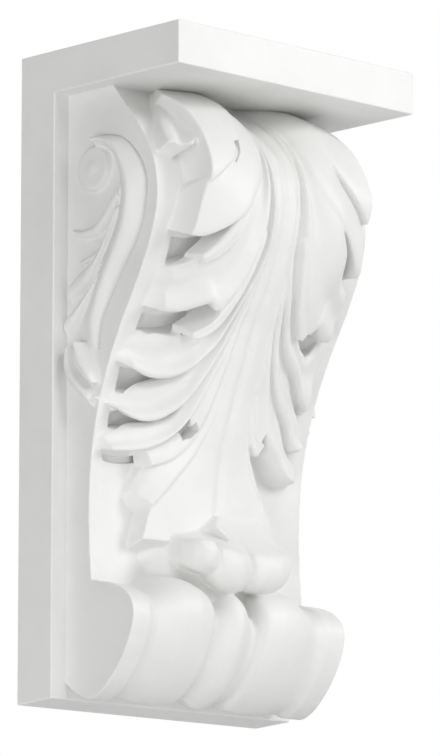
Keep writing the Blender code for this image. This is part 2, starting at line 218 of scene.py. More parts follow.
def sweep(mesh, outline, wide):
    # a (depth, z) outline carried across from one side to the other
    face = mesh.faces.new([mesh.verts.new(place(-wide, d, z)) for d, z in outline])
    made = bmesh.ops.extrude_face_region(mesh, geom=[face], use_keep_orig=True)
    moved = [g for g in made["geom"] if isinstance(g, bmesh.types.BMVert)]
    bmesh.ops.translate(mesh, verts=moved, vec=(2 * wide * unit, 0, 0))


def shell(mesh, rows, across, top, base):
    # a sheet shaped by top(t, w), thickened down to base(t, w)
    sheet = bmesh.new()
    alongLayer = sheet.verts.layers.float.new("along")
    acrossLayer = sheet.verts.layers.float.new("across")
    bmesh.ops.create_grid(sheet, x_segments=rows, y_segments=across, size=1)
    for v in sheet.verts:
        v[alongLayer], v[acrossLayer] = (v.co.x + 1) / 2, (v.co.y + 1) / 2
    made = bmesh.ops.extrude_face_region(sheet, geom=sheet.faces[:], use_keep_orig=True)
    lifted = {g for g in made["geom"] if isinstance(g, bmesh.types.BMVert)}
    for v in sheet.verts:
        shape = top if v in lifted else base
        v.co = shape(v[alongLayer], v[acrossLayer])
    addInto(mesh, sheet)


# Leaf: how far it stands off the body by height: along its middle, over its shoulder, at its outer edge,
# and how far out that edge lies
leafEnvelope = {
    "middle": [(75, 14.5), (95, 14.5), (115, 15), (141, 17), (163, 16.5), (183, 13.8), (207, 13.8),
               (225, 15), (237, 15.4), (243, 14.6), (250, 12.2), (256, 9.8), (262, 7.5), (270, 5),
               (280, 3)],
    "shoulder": [(66, 11), (75, 12), (95, 12.8), (118, 15), (135, 17), (158, 17.3), (180, 17.5),
                 (212, 20.5), (235, 21.2), (256, 19), (270, 13), (280, 6)],
    "edge": [(66, 10.5), (75, 11), (92, 9.5), (113, 6.5), (130, 6), (150, 5), (176, 4), (192, 10),
             (208, 12.5), (222, 15.5), (234, 20), (250, 17.5), (262, 14), (272, 9), (280, 4)],
    "edgeOut": [(72, 45), (95, 48), (110, 60), (176, 62), (192, 58), (208, 57), (225, 51), (280, 50)],
    "shoulderOut": 30.0,
}
envelopeAt = {}
for name in ("middle", "shoulder", "edge", "edgeOut"):
    envelopeAt[name] = [through(leafEnvelope[name], i / 2) for i in range(2 * tall)]


def envelope(name, z):
    i = min(max(2 * z, 0), 2 * tall - 2)
    rows = envelopeAt[name]
    return mix(rows[int(i)], rows[int(i) + 1], i - int(i))


def rise(a, z):
    a = abs(a)
    reach = leafEnvelope["shoulderOut"]
    shoulder = envelope("shoulder", z)
    if a < reach:
        return mix(envelope("middle", z), shoulder, ease(a / reach))
    t = min((a - reach) / (envelope("edgeOut", z) - reach), 1.15)
    return mix(shoulder, envelope("edge", z), t**1.3)


# Lobes from the slab down. Their edges are (distance from the middle, z) from root to tip; the lower edge
# is the lip that stands over the next lobe. fold: how far the upper edge lies under the envelope at root
# and tip; groove: depth of the channel along it; lip: rounding at the lip; lift: the whole lobe up or
# down; climb: more of that towards the tip; reach: how far its sloped end face runs out, or ends: where
# it stops; lean: how far the lip's wall leans out; tuck: how far the wall stays behind the tip; ramp:
# where the fold begins and is whole
leafLobes = {
    "crown": dict(
        upper=[(20, 283), (30, 282), (42, 280), (50.5, 270)],
        lower=[(18, 279), (22, 266), (25.5, 255), (29, 246), (33, 240.5), (38, 237), (45, 232.5),
               (51, 229)],
        fold=(0.5, 1), groove=(0.3, 0), lip=(0.2, 0.6), tuck=0.03, lean=5),
    "crownLeaflet": dict(
        upper=[(49, 272), (57, 261), (62.5, 252), (64, 245)],
        lower=[(31, 271), (33.5, 264), (37, 258), (41, 252), (46, 247.5), (54, 243)],
        fold=(3, 5.5), groove=(3, 3.5), lip=(1.2, 1.2), lift=-4),
    "shoulder": dict(
        upper=[(18, 283), (22, 272), (28, 259), (31.5, 250), (36, 243.5), (43, 239), (51, 231)],
        lower=[(12, 282), (12.3, 264), (13.2, 250), (15, 243), (17, 237), (20, 232), (23.8, 227.6),
               (28, 222.6), (34, 218), (41, 214), (49, 210.5), (55, 210)],
        fold=(0.4, 3), groove=(0.3, 0.4), lip=(1.3, 0.7), reach=3),
    "upperLeaflet": dict(
        upper=[(22, 238), (25, 231), (30, 222.5), (35, 215), (39.5, 209), (44.5, 203.8)],
        lower=[(22, 230), (25, 222.5), (29.5, 214), (34, 208), (38.5, 204), (43.5, 201)],
        fold=(2, 3), groove=(0.3, 1.6), lip=(0.8, 1.5), lift=-1.5, reach=3),
    "upper": dict(
        upper=[(14, 281), (14.6, 262), (15.6, 250), (18, 240.5), (22, 232), (28, 221), (36, 209),
               (46, 200.5), (53.5, 196)],
        lower=[(10.4, 280), (10.4, 262), (10.6, 246), (11.2, 236), (12, 222), (14.4, 209), (17.4, 201.5),
               (19.4, 195), (22.2, 190), (26, 185), (30, 184.2), (34, 186.5), (39, 184), (46, 180),
               (53.5, 178.3)],
        fold=(3, 8), groove=(0.8, 4), lip=(2, 0.8), reach=5),
    "middleLeaflet": dict(
        upper=[(13.5, 218), (17, 205), (21.5, 192.5), (27, 183.5), (31, 179), (34.5, 176), (37.5, 173.8)],
        lower=[(11.6, 217), (14.4, 206), (18.4, 192.5), (23.5, 181), (28.5, 175.5), (32.5, 172.5),
               (36.5, 171)],
        fold=(1.2, 0.8), groove=(0.2, 0.5), lip=(0.9, 1.2), lift=1, reach=2),
    "middle": dict(
        upper=[(12, 281), (12, 262), (12, 246), (12.4, 234), (13.2, 217), (16.6, 203), (21, 190),
               (28, 176), (38, 169.5), (48, 168), (59, 165)],
        lower=[(8.6, 280), (8.4, 262), (7.6, 248), (6.4, 232), (6, 219), (7, 207), (10.4, 197),
               (14.2, 189), (17.8, 179), (21, 171.5), (25.6, 165), (31.5, 158), (38, 152.6),
               (44.5, 150.2), (51, 150), (57.5, 152)],
        fold=(3, 8), groove=(1, 4.4), lip=(2, 0.8), reach=6),
    "lower": dict(
        upper=[(8.4, 222), (9.4, 208), (13.5, 196), (17, 186), (20.5, 175), (27.5, 163), (34, 152.5),
               (44, 147.5), (55, 143.5), (65, 138.5)],
        lower=[(6.2, 218), (6.8, 205), (9.6, 193), (13, 182), (16.2, 171), (19.6, 161), (23.4, 152.5),
               (27.6, 145), (31.5, 139.5), (36, 135), (41, 131.2), (47, 129.5), (52, 130), (57.8, 132.5)],
        fold=(3, 8), groove=(0.8, 3.8), lip=(2, 0.8), reach=5),
    "low": dict(
        upper=[(8, 208), (10.5, 196), (14, 184), (18.5, 170), (23, 158), (28, 146), (33, 134),
               (40.5, 129.6), (51, 127.2), (63, 122)],
        lower=[(6.6, 204), (7.8, 192), (10.1, 179), (13.3, 166.5), (17, 155.5), (20.4, 144.5),
               (24.4, 135.5), (28.4, 129.3), (33, 123.8), (38, 119.5), (44, 116.4), (52, 114.6),
               (59.7, 114)],
        fold=(3, 7), groove=(0.8, 2), lip=(2, 0.8), reach=3),
    "innerLeaflet": dict(
        upper=[(8.6, 192), (11.5, 177), (15.5, 162), (20, 149), (25, 136.5)],
        lower=[(8, 190), (10, 175), (11.6, 158), (13.4, 144), (16.2, 132), (21.5, 124.5)],
        fold=(0.9, 1), groove=(0.2, 0.2), lip=(0.9, 1)),
    "footLeaflet": dict(
        upper=[(14, 142), (19, 134), (26, 127.5), (34, 122), (43, 118)],
        lower=[(16, 128), (21, 120), (27, 114.5), (33, 111), (40, 108.5)],
        fold=(1.5, 5), groove=(0.2, 0.2), lip=(0.8, 1), lift=-0.8, reach=1),
    "foot": dict(
        upper=[(9, 152), (13, 141), (19, 131), (26, 122), (34, 116), (41, 108), (46, 97)],
        lower=[(9.6, 139), (11.6, 130.5), (14.4, 122), (16.7, 116.5), (21.5, 109.5), (27, 102), (32, 96),
               (37.4, 89.8)],
        fold=(1.5, 7), groove=(0.5, 1), lip=(1.4, 0.8), reach=3),
    "blade": dict(
        upper=[(9.6, 281), (9.4, 262), (8.6, 248), (7.4, 232), (7, 219), (7.6, 200), (9.6, 184),
               (11.6, 170), (12.8, 156), (14.4, 142), (16, 132), (17.5, 120), (24, 109), (32.6, 97),
               (38.5, 88), (43, 74)],
        lower=[(-1.5, z) for z in (281, 262, *range(247, 100, -15), 98, 86, 74)],
        fold=(2, 1.5), groove=(0, 0), lip=(0, 0), reach=9, ends=((44, 71), (-1.5, 63))),
}
leafLobes["flap"] = dict(
    upper=[(3.5, 88), (6.5, 85), (9, 81)], lower=[(-3, 86.5), (0.5, 80), (2.5, 74.5)],
    fold=(0, 2.5), groove=(0.4, 0.4), lip=(0.4, 0.6), lift=4.5, climb=6.5, reach=1)

# The right half hangs a little lower at its tips, and its lowest lobes end sooner
rightLobes = dict(leafLobes)
del rightLobes["flap"]
rightLobes["crown"] = dict(
    upper=[(20, 283), (30, 282), (42, 280), (50.5, 270)],
    lower=[(18, 279), (22, 266), (25, 255), (27.5, 247), (31, 241.5), (36, 237), (44, 231), (52, 225)],
    fold=(0.5, 1), groove=(0.3, 0), lip=(0.2, 0.6))
rightLobes["shoulder"] = dict(
    upper=[(18, 283), (22, 272), (27, 258), (30, 248), (35, 241), (43, 234.5), (51, 229)],
    lower=[(12, 282), (12.3, 264), (13.2, 250), (15, 243), (17, 237), (20, 232), (24.5, 228), (30, 224.5),
           (36, 220.5), (40.5, 217), (44.5, 213.7), (49.5, 208.6), (54, 205.6)],
    fold=(0.4, 7), groove=(0.3, 0.6), lip=(1.5, 0.7), reach=3, lean=4, ramp=(0.42, 0.8))
del rightLobes["upperLeaflet"]
rightLobes["upper"] = dict(
    upper=[(14, 281), (14.6, 262), (15.6, 250), (18, 240.5), (22, 233), (29, 226), (36, 218), (41, 212),
           (45.5, 206.5), (52, 202), (57, 199)],
    lower=[(10.4, 280), (10.4, 262), (10.6, 246), (11.2, 236), (12, 222), (14.4, 209), (17.4, 201.5),
           (20, 195), (24, 189.5), (28, 184.5), (31.5, 181), (34, 182.2), (36.8, 183.5), (40, 181.3),
           (44, 179.3), (49, 177.8), (54, 177.3)],
    fold=(1, 8), groove=(0.8, 4), lip=(1.2, 0.8), reach=5, lean=2, ramp=(0.72, 0.95))
rightLobes["middleLeaflet"] = dict(
    upper=[(13.5, 218), (17, 205), (21.5, 194), (26, 187), (30.3, 180.8)],
    lower=[(11.6, 217), (14.4, 206), (18.4, 193), (22.5, 185.5), (27.8, 178.2)],
    fold=(1.2, 1), groove=(0.2, 0.3), lip=(0.9, 0.8), lift=0.2, lean=2)
rightLobes["middle"] = dict(
    upper=[(12, 281), (12, 262), (12, 246), (12.4, 234), (13.2, 217), (16.6, 203), (21.5, 191),
           (26.5, 184), (31.5, 177.5), (37, 173), (41, 171), (45, 169.3), (49, 172), (53.5, 176),
           (58, 177)],
    lower=[(8.6, 280), (8.4, 262), (7.6, 248), (6.4, 232), (6, 219), (7, 207), (10.4, 197), (14.2, 189),
           (17.8, 180.5), (22, 173.5), (27.5, 168), (33, 163.5), (37, 159.5), (41, 154.5), (45, 150.7),
           (50, 148), (55, 145.8)],
    fold=(3, 6.5), groove=(0.8, 3), lip=(2, 0.8), reach=5, lean=3)
rightLobes["lower"] = dict(
    upper=[(8.4, 222), (9.4, 208), (13.5, 196), (17, 186), (21, 177), (27.5, 169), (35, 161.5), (42, 153),
           (50, 145), (60, 137)],
    lower=[(6.2, 218), (6.8, 205), (9.6, 193), (13, 182), (16.2, 171), (19.6, 162), (23.6, 154.5),
           (28.5, 148), (33.5, 143), (37.5, 139), (41, 135), (44.5, 130), (48.5, 126.9), (53, 126.2),
           (56.5, 127)],
    fold=(3, 6.5), groove=(0.8, 2.8), lip=(2, 0.8), reach=4, lean=2.5)
rightLobes["low"] = dict(
    upper=[(8, 208), (10.5, 196), (14, 184), (18.5, 170), (23, 160), (29, 151), (36, 143), (42, 134),
           (49, 126), (58, 120)],
    lower=[(6.6, 204), (7.8, 192), (10.1, 179), (13.3, 166.5), (16.4, 156), (19.3, 147), (22.2, 138.5),
           (25.8, 131), (30.5, 125.5), (36.5, 120.3), (43, 114.8), (48.5, 112), (54, 111)],
    fold=(3, 7), groove=(0.8, 2), lip=(2, 0.8), reach=3, lean=7)
rightLobes["footLeaflet"] = dict(
    upper=[(13, 145), (16.5, 137), (20.5, 131), (26, 127)],
    lower=[(13, 137), (15.5, 129), (18.5, 124), (22.5, 120.5)],
    fold=(1.5, 1), groove=(0.2, 0.2), lip=(0.8, 1), lift=-0.6, lean=2)
rightLobes["foot"] = dict(
    upper=[(9, 152), (12.5, 141), (16.5, 131), (20.5, 123), (25, 114.5), (29, 106.5), (32.5, 97)],
    lower=[(9.6, 139), (11.6, 130.5), (14.4, 122), (16.7, 116.5), (21, 109.5), (25.5, 103), (29.5, 97.5),
           (32, 91.5)],
    fold=(1.2, 7), groove=(0.5, 1), lip=(1.4, 3), reach=8, lean=2)

# How every lobe is cut: pairs are at its root and at its tip
leafCut = {
    "midValley": 1.5,
    "midWidth": 2.0,
    "midFrom": (78, 12),
    "ramp": (0.05, 0.6),
    "foldPower": (1.2, 1.7),
    "grooveWidth": 0.88,
    "groovePower": 1.25,
    "lipWidth": (0.5, 0.12),
    "rootSunk": 1.5,
    "endLeft": 0.12,
    "sunk": 4.0,
    "lean": -2.0,
    "rowLength": 1.6,
    "endRows": 6,
    "across": 20,
}


def lobeHeight(lobe, t, w, a, z):
    fold, groove, lip = lobe["fold"], lobe["groove"], lobe["lip"]
    start, full = lobe.get("ramp", leafCut["ramp"])
    drop = mix(*fold, ease((t - start) / (full - start)))
    drop *= (1 - sin(pi / 2 * w)) ** mix(*leafCut["foldPower"], t)
    across = min(w / leafCut["grooveWidth"], 1) ** leafCut["groovePower"]
    channel = mix(*groove, ease(t)) * ease(4 * t) * sin(pi * across) ** 2
    wide = mix(*leafCut["lipWidth"], ease(1.6 * t))
    turned = mix(*lip, ease(1.5 * t)) * max((w - 1 + wide) / wide, 0) ** 2
    foot, fade = leafCut["midFrom"]
    valley = leafCut["midValley"] * exp(-((a / leafCut["midWidth"]) ** 2)) * ease((z - foot) / fade)
    started = leafCut["rootSunk"] * (1 - ease(12 * t))
    raised = lobe.get("lift", 0) + lobe.get("climb", 0) * t
    return rise(a, z) + raised - drop - channel - turned - valley - started


def leafLobe(mesh, lobe):
    upper, lower, reach = lobe["upper"], lobe["lower"], lobe.get("reach", 0)
    length = sum(sqrt((q[0] - p[0]) ** 2 + (q[1] - p[1]) ** 2) for p, q in zip(lower, lower[1:]))
    rows = int(length / leafCut["rowLength"]) + 8
    endRows = leafCut["endRows"] / rows if reach else 0

    def edges(t):
        # both edges and the part of the height left, running on past the tip down its end face
        if t <= 1 - endRows:
            s = t / (1 - endRows)
            return s, along(upper, s), along(lower, s), 1.0
        past = (t - 1 + endRows) / endRows
        ends = []
        if "ends" in lobe:
            for line, end in zip((upper, lower), lobe["ends"]):
                ends.append((mix(line[-1][0], end[0], past), mix(line[-1][1], end[1], past)))
            return 1.0, ends[0], ends[1], mix(1, leafCut["endLeft"], past)
        for line in (upper, lower):
            (p0, q0), (p1, q1) = along(line, 0.93), along(line, 1)
            far = reach * past / sqrt((p1 - p0) ** 2 + (q1 - q0) ** 2)
            ends.append((p1 + (p1 - p0) * far, q1 + (q1 - q0) * far))
        return 1.0, ends[0], ends[1], mix(1, leafCut["endLeft"], past)

    def top(t, w):
        s, u, v, part = edges(t)
        a, z = mix(u[0], v[0], w), mix(u[1], v[1], w)
        return onFront(a, z, part * lobeHeight(lobe, s, w, a, z))

    def base(t, w):
        u, v = edges(t * (1 - lobe.get("tuck", 0)))[1:3]
        width = sqrt((v[0] - u[0]) ** 2 + (v[1] - u[1]) ** 2) + 0.01
        out = w * (1 + clamp(lobe.get("lean", leafCut["lean"]) / width + 0.5) - 0.5)
        return onFront(mix(u[0], v[0], out), mix(u[1], v[1], out), -leafCut["sunk"])

    shell(mesh, rows, leafCut["across"], top, base)


# Ground between the lobes, with its half width by height
leafGround = {
    "halfWidth": [(72, 36), (80, 34), (92, 27), (105, 19), (120, 15), (135, 15), (150, 16), (180, 18),
                  (210, 21), (238, 25), (266, 27), (281, 28)],
    "heights": (281, 74),
    "under": 6.5,
    "sunk": 4.0,
}


def ground(mesh):
    def top(t, w):
        z = mix(*leafGround["heights"], t)
        a = (2 * w - 1) * through(leafGround["halfWidth"], z)
        return onFront(a, z, rise(a, z) - leafGround["under"])

    def base(t, w):
        z = mix(*leafGround["heights"], t)
        a = (2 * w - 1) * through(leafGround["halfWidth"], z)
        return onFront(a, z, -leafGround["sunk"])

    shell(mesh, 100, 24, top, base)


# Curled tip, with its round sections as (x, depth, z, size along depth, size along z)
curlTip = {
    "sections": [(-27, 54, 70.5, 3, 3), (-25, 57.5, 70, 6.6, 6.2), (-21, 59.5, 69.2, 8.8, 8.2),
                 (-17, 60, 68.6, 9.2, 8.6), (-14.5, 59.8, 68, 8.4, 8.4), (-13, 59.5, 67, 7.2, 8),
                 (-11, 60, 65.6, 8.6, 9.4), (-7, 60.6, 64.2, 9.9, 10.8), (-3, 60.8, 63.4, 10.2, 11.2),
                 (1, 60.6, 63, 9.9, 11), (5, 60, 63, 8.7, 10.2), (7.5, 59.6, 63.4, 7.2, 9.2),
                 (10, 60, 63.8, 8.7, 10), (15, 60.4, 64, 9.9, 10.6), (23, 60.2, 64.6, 10, 10.6),
                 (29.5, 59.4, 66, 9.3, 10), (34.5, 58, 68, 7.5, 8), (38.5, 55, 70.5, 3.5, 3)],
    "neck": (79.0, 93.0),
    "neckBend": 1.8,
    "neckSunk": 2,
    "neckFade": (30, 14),
    "root": 37.0,
    "arc": (-115, 38),
}


def curl(mesh):
    rows = curlTip["sections"]
    lowest, highest = curlTip["arc"]

    def section(x):
        depth, z, deep, tall = (through(rows, x, c) for c in (1, 2, 3, 4))
        points = []
        for i in range(15):
            turn = radians(mix(lowest, highest, i / 14))
            points.append((depth + deep * cos(turn), z + tall * sin(turn)))
        # from the top of the curl back into the blade, long in the middle and short at the ends
        leftFade, rightFade = curlTip["neckFade"]
        held = ease((x - rows[0][0] - 3) / leftFade) * ease((rows[-1][0] - x) / rightFade)
        front, above = points[-1]
        stop = mix(*curlTip["neck"], held)
        for i in range(1, 9):
            u = i / 8
            at = mix(above, stop, u)
            leaf = bodyDepth(at) + rise(x, at)
            back = mix(front, leaf, 1 - (1 - u) ** curlTip["neckBend"])
            points.append((back - curlTip["neckSunk"] * u**4, at))
        return z, tall, points

    def top(t, w):
        x = mix(rows[0][0], rows[-1][0], t)
        return place(x, *along(section(x)[2], w))

    def base(t, w):
        x = mix(rows[0][0], rows[-1][0], t)
        z, tall, points = section(x)
        return place(x, curlTip["root"], mix(z - 0.5 * tall, points[-1][1], w))

    shell(mesh, 110, 60, top, base)


# Ground under the curled tip: (z, half width, height off the body)
throatRows = {
    "rows": [(47, 37, 13), (49, 37, 13), (55, 35, 12.5), (61, 34, 11.5), (67, 37, 10), (74, 38, 9),
             (84, 30, 10)],
    "heights": (84, 48),
    "middleSwell": 0.45,
    "sunk": 5.0,
}


def throat(mesh):
    rows = throatRows["rows"]

    def top(t, w):
        z = mix(*throatRows["heights"], t)
        u = 2 * w - 1
        swell = 1 - abs(u) ** 6 + throatRows["middleSwell"] * ease(1 - 2 * abs(u))
        return onFront(u * through(rows, z), z, through(rows, z, 2) * swell)

    def base(t, w):
        z = mix(*throatRows["heights"], t)
        return onFront((2 * w - 1) * through(rows, z), z, -throatRows["sunk"])

    shell(mesh, 30, 60, top, base)


# Volute, with its sections as (distance from the middle, growth away from its foot, size about its axis)
volute = {
    "sections": [(0, 1.07, 1), (3, 1.05, 0.985), (7, 1.01, 0.915), (11, 0.98, 0.85), (14, 0.97, 0.83),
                 (15.5, 1, 0.87), (17, 1.06, 0.95), (19, 1.075, 0.975), (22.5, 1.09, 0.99),
                 (27.5, 1.11, 1), (34, 1.1, 1), (40.5, 1.06, 0.985), (46, 1.02, 0.95), (50.5, 1, 0.93),
                 (54, 1, 0.955), (56.5, 1, 1), (66.75, 1, 1)],
    "axis": (44.0, 26.0),
    "back": (50, 11),
}


def roll(mesh):
    line = voluteLine(24)
    line.append((mount["plateThick"] - 4, 10.5))
    foot, axis, wide = core["voluteFoot"], volute["axis"], core["halfWidth"]

    def section(x, w):
        grow, size = through(volute["sections"], abs(x)), through(volute["sections"], abs(x), 2)
        at = along(line, w)
        spot = []
        for c in (0, 1):  # depth, then z
            grown = foot[c] + (at[c] - foot[c]) * grow
            spot.append(axis[c] + (grown - axis[c]) * size)
        return spot

    def top(t, w):
        x = mix(-wide, wide, t)
        return place(x, *section(x, w))

    def base(t, w):
        x = mix(-wide, wide, t)
        return place(x, mount["plateThick"] - 5, mix(*volute["back"], w))

    shell(mesh, 160, 90, top, base)


# Side scrolls: strips between two edges, (depth, z) from root to tip, and their heights across
sideScroll = {
    "band": dict(
        upper=[(44, 257.5), (52, 256.8), (60.5, 254), (68, 247), (73.5, 238), (74.9, 229), (72.5, 215),
               (66.7, 203.7), (58, 192), (50, 180), (45, 170), (43.5, 159)],
        lower=[(44, 252), (50, 251), (55, 247), (58, 240), (59, 231), (57.5, 221), (53, 211), (47, 202),
               (41.5, 192), (36.5, 181), (33.5, 171), (38, 161)],
        heights=[(0, 0.3), (0.1, 3.2), (0.25, 6), (0.4, 7.3), (0.6, 5.8), (0.8, 3), (1, 0.6)], fade=0.45),
    "frondOne": dict(
        upper=[(60, 233), (53, 226), (46, 217.8), (39, 215), (33, 215), (28, 216.5)],
        lower=[(60, 224), (53, 216.4), (45, 211), (37, 210.8), (31, 212.3), (28.5, 214)],
        heights=[(0, 0), (0.25, 3.4), (0.55, 3.6), (0.9, 1.6), (1, 0.2)]),
    "frondTwo": dict(
        upper=[(60, 227), (54, 213), (47, 204), (39.4, 198.9), (30, 193.7), (25, 190)],
        lower=[(58, 214), (50, 202), (44, 193.5), (38, 188), (30, 184.4), (25.5, 182)],
        heights=[(0, 0), (0.2, 3.6), (0.5, 4.2), (0.85, 2.2), (1, 0.2)]),
    "frondThin": dict(
        upper=[(61, 224), (55.5, 214), (49, 206.5), (41, 202.5), (33, 201)],
        lower=[(60, 219), (53.5, 209), (46.5, 202.5), (40, 199.5), (34, 199)],
        heights=[(0, 0), (0.3, 3), (0.6, 3.2), (1, 0.2)]),
    "frondThree": dict(
        upper=[(51, 202), (45, 191), (37, 184), (28, 178.3), (23, 175)],
        lower=[(47, 193), (40, 182), (34, 175.5), (27, 169.5), (23, 167)],
        heights=[(0, 0), (0.2, 3.6), (0.5, 4.2), (0.85, 2.2), (1, 0.2)]),
    "huskOne": dict(
        upper=[(37, 163), (41.5, 156), (44.5, 150), (45.5, 143.5)],
        lower=[(31.5, 163), (32, 154), (36, 148), (43, 142.5)],
        heights=[(0, 0.4), (0.12, 4), (0.3, 6.8), (0.5, 7.4), (0.76, 5.4), (1, 1)]),
    "huskTwo": dict(
        upper=[(32, 161), (32.5, 153), (36.5, 147), (42, 139.5)],
        lower=[(25.5, 161), (24.8, 151), (29, 143), (41, 133)],
        heights=[(0, 0.4), (0.12, 3.6), (0.3, 6.2), (0.5, 6.8), (0.8, 4.4), (1, 1)]),
}


def scrollStrip(mesh, strip):
    upper, lower = strip["upper"], strip["lower"]

    def top(t, w):
        u, v = along(upper, t), along(lower, t)
        height = through(strip["heights"], w) * (1 - strip.get("fade", 0) * t - 0.4 * t**4)
        widest = high.x / unit - core["halfWidth"]
        return onSide(mix(u[0], v[0], w), mix(u[1], v[1], w), min(height, widest))

    def base(t, w):
        u, v = along(upper, t), along(lower, t)
        return onSide(mix(u[0], v[0], w), mix(u[1], v[1], w), -4)

    shell(mesh, 50, 16, top, base)


# Cut line that sets the scroll band off from the side; it starts thin and widens
scrollLine = {
    "width": 2.2,
    "deep": 1.5,
    "startWidth": 0.15,
    "above": 2,
    "flare": (1.6, 0.3),
}


def outlineCutter(mesh, line):
    wide, deep = scrollLine["width"], scrollLine["deep"]

    def spot(t, w, height, part):
        (d0, z0), (d1, z1) = along(line, max(t - 0.01, 0)), along(line, min(t + 0.01, 1))
        d, z = along(line, t)
        step = sqrt((d1 - d0) ** 2 + (z1 - z0) ** 2)
        out = (0.4 + (w - 0.5) * part) * wide * mix(scrollLine["startWidth"], 1, ease(2.2 * t))
        return onSide(d - out * (z1 - z0) / step, z + out * (d1 - d0) / step, height)

    def top(t, w):
        return spot(t, w, scrollLine["above"], scrollLine["flare"][0])

    def base(t, w):
        return spot(t, w, -deep * ease(3 * t), scrollLine["flare"][1])

    shell(mesh, 60, 3, top, base)


# Hollows cut under the left lobes, as (distance from the middle, z) along their upper and lower edges
pockets = {
    "first": dict(upper=[(31, 213), (38, 210.5), (47, 208.5), (55.5, 208)],
                  lower=[(36, 203), (41, 200), (47, 197.5), (54.5, 195)]),
    "second": dict(upper=[(27, 184), (35, 178), (46, 175.5), (58, 175)],
                   lower=[(27, 173), (33, 170.5), (45, 167.5), (57.8, 166.5)]),
    "third": dict(upper=[(34, 149), (42, 150.5), (50, 151.5), (60, 151.5)],
                  lower=[(34, 143), (42, 142), (50, 141), (59.5, 139.5)]),
    "fourth": dict(upper=[(32, 131.5), (40, 133.5), (50, 133.5), (60.5, 131.5)],
                   lower=[(32, 127), (40, 126), (50, 125), (60, 123.5)]),
    "hole": dict(upper=[(20.9, 133.6), (24, 130.8), (26.4, 127.6)],
                 lower=[(17.8, 129.5), (20.6, 125.5), (24.8, 122.6)], into=8),
    "dimple": dict(upper=[(34.3, 244.1), (35.3, 240.9), (37.9, 237.2)],
                   lower=[(30.5, 245.3), (29.9, 241.5), (34.4, 236.6)], into=2.6),
    "last": dict(upper=[(36.3, 115.6), (44.6, 112.9), (52.6, 112.1), (61.2, 112.5)],
                 lower=[(35.7, 111.1), (44.2, 109.3), (52.1, 108.5), (60.2, 109.0)], open=1, deep=1.6),
}
pocketDepth = {
    "open": 2.5,
    "deep": 3.2,
    "above": 4,
    "floorAlong": (0.05, 0.92),
    "floorAcross": (0.12, 0.88),
}


def pocketCutter(mesh, pocket):
    upper, lower = pocket["upper"], pocket["lower"]
    deep = pocket.get("deep", pocketDepth["deep"])

    def spot(t, w, above, under):
        # "into" cuts from the leaf's own surface, and the others from the body
        u, v = along(upper, t), along(lower, t)
        a, z = mix(u[0], v[0], w), mix(u[1], v[1], w)
        if "into" in pocket:
            return onFront(a, z, rise(a, z) + (pocketDepth["above"] if above else -pocket["into"]))
        return onFront(a, z, above if above else -under)

    def top(t, w):
        return spot(t, w, pocket.get("open", pocketDepth["open"]), 0)

    def base(t, w):
        return spot(mix(*pocketDepth["floorAlong"], t), mix(*pocketDepth["floorAcross"], w), 0, deep)

    shell(mesh, 24, 8, top, base)


# Eye of the scroll: (radius, height) of its rings
scrollEye = {
    "centre": (42.5, 242.5),
    "sunk": 3,
    "profile": [(0.1, 3.9), (1.5, 3.8), (3, 3.5), (4.4, 2.9), (5.6, 1.9), (6.4, 1.5), (7.4, 2.4),
                (8.6, 3.2), (9.8, 2.9), (11.2, -1)],
}


def eye(mesh):
    depth, z = scrollEye["centre"]
    rim = scrollEye["profile"][-1][0]
    ring = bmesh.ops.create_circle(mesh, cap_ends=True, segments=64, radius=1)["verts"]
    turned = {v: (v.co.x, v.co.y) for v in ring}
    for v, (c, s) in turned.items():
        v.co = onSide(depth + rim * c, z + rim * s, -scrollEye["sunk"])
    face = ring[0].link_faces[0]
    for k, (radius, height) in enumerate(reversed(scrollEye["profile"])):
        made = bmesh.ops.extrude_face_region(mesh, geom=[face], use_keep_orig=k == 0)
        face = next(g for g in made["geom"] if isinstance(g, bmesh.types.BMFace))
        middle = face.calc_center_median()
        for v in face.verts:
            out = (v.co - middle).normalized()
            v.co = onSide(depth, z, height) + out * radius * unit


def carveBody(mesh):
    # the plain body, swept across its width
    top, back = slabUnder + 6, mount["plateThick"] - 5
    outline = [(back, top), (core["topDepth"] - 1, top)] + frontLine(40) + [(45, 32), (back, 20)]
    sweep(mesh, outline, core["halfWidth"])


def newObject(name, mesh):
    bmesh.ops.recalc_face_normals(mesh, faces=mesh.faces)
    data = bpy.data.meshes.new(name)
    mesh.to_mesh(data)
    mesh.free()
    made = bpy.data.objects.new(name, data)
    bpy.context.scene.collection.objects.link(made)
    return made


def applied(obj):
    # the object's mesh with its modifiers worked in
    graph = bpy.context.evaluated_depsgraph_get()
    data = bpy.data.meshes.new_from_object(obj.evaluated_get(graph), depsgraph=graph)
    obj.modifiers.clear()
    old = obj.data
    obj.data = data
    bpy.data.meshes.remove(old)


def combined(obj, other, operation):
    # other is added to the object or cut from it, and then taken away
    modifier = obj.modifiers.new("combine", "BOOLEAN")
    modifier.operation = operation
    modifier.solver = "MANIFOLD"
    modifier.object = other
    applied(obj)
    bpy.data.objects.remove(other)


# Voxel size and smoothing of the blended carving, and how it is thinned once joined
finish = {
    "voxel": 0.6,
    "quickVoxel": 0.9,
    "smoothing": 2,
    "softness": 0.5,
    "triangles": 190000,
    "flatMargin": 0.3,
    "crumb": 50,
    "sharpAngle": 50,
}


def dropCrumbs(obj, least):
    # takes away loose bits with fewer points than this, which the cuts leave behind
    mesh = bmesh.new()
    mesh.from_mesh(obj.data)
    seen, crumbs = set(), []
    for start in mesh.verts:
        if start in seen:
            continue
        seen.add(start)
        bit = [start]
        for vert in bit:
            for edge in vert.link_edges:
                other = edge.other_vert(vert)
                if other not in seen:
                    seen.add(other)
                    bit.append(other)
        if len(bit) < least:
            crumbs += bit
    bmesh.ops.delete(mesh, geom=crumbs, context="VERTS")
    mesh.to_mesh(obj.data)
    mesh.free()


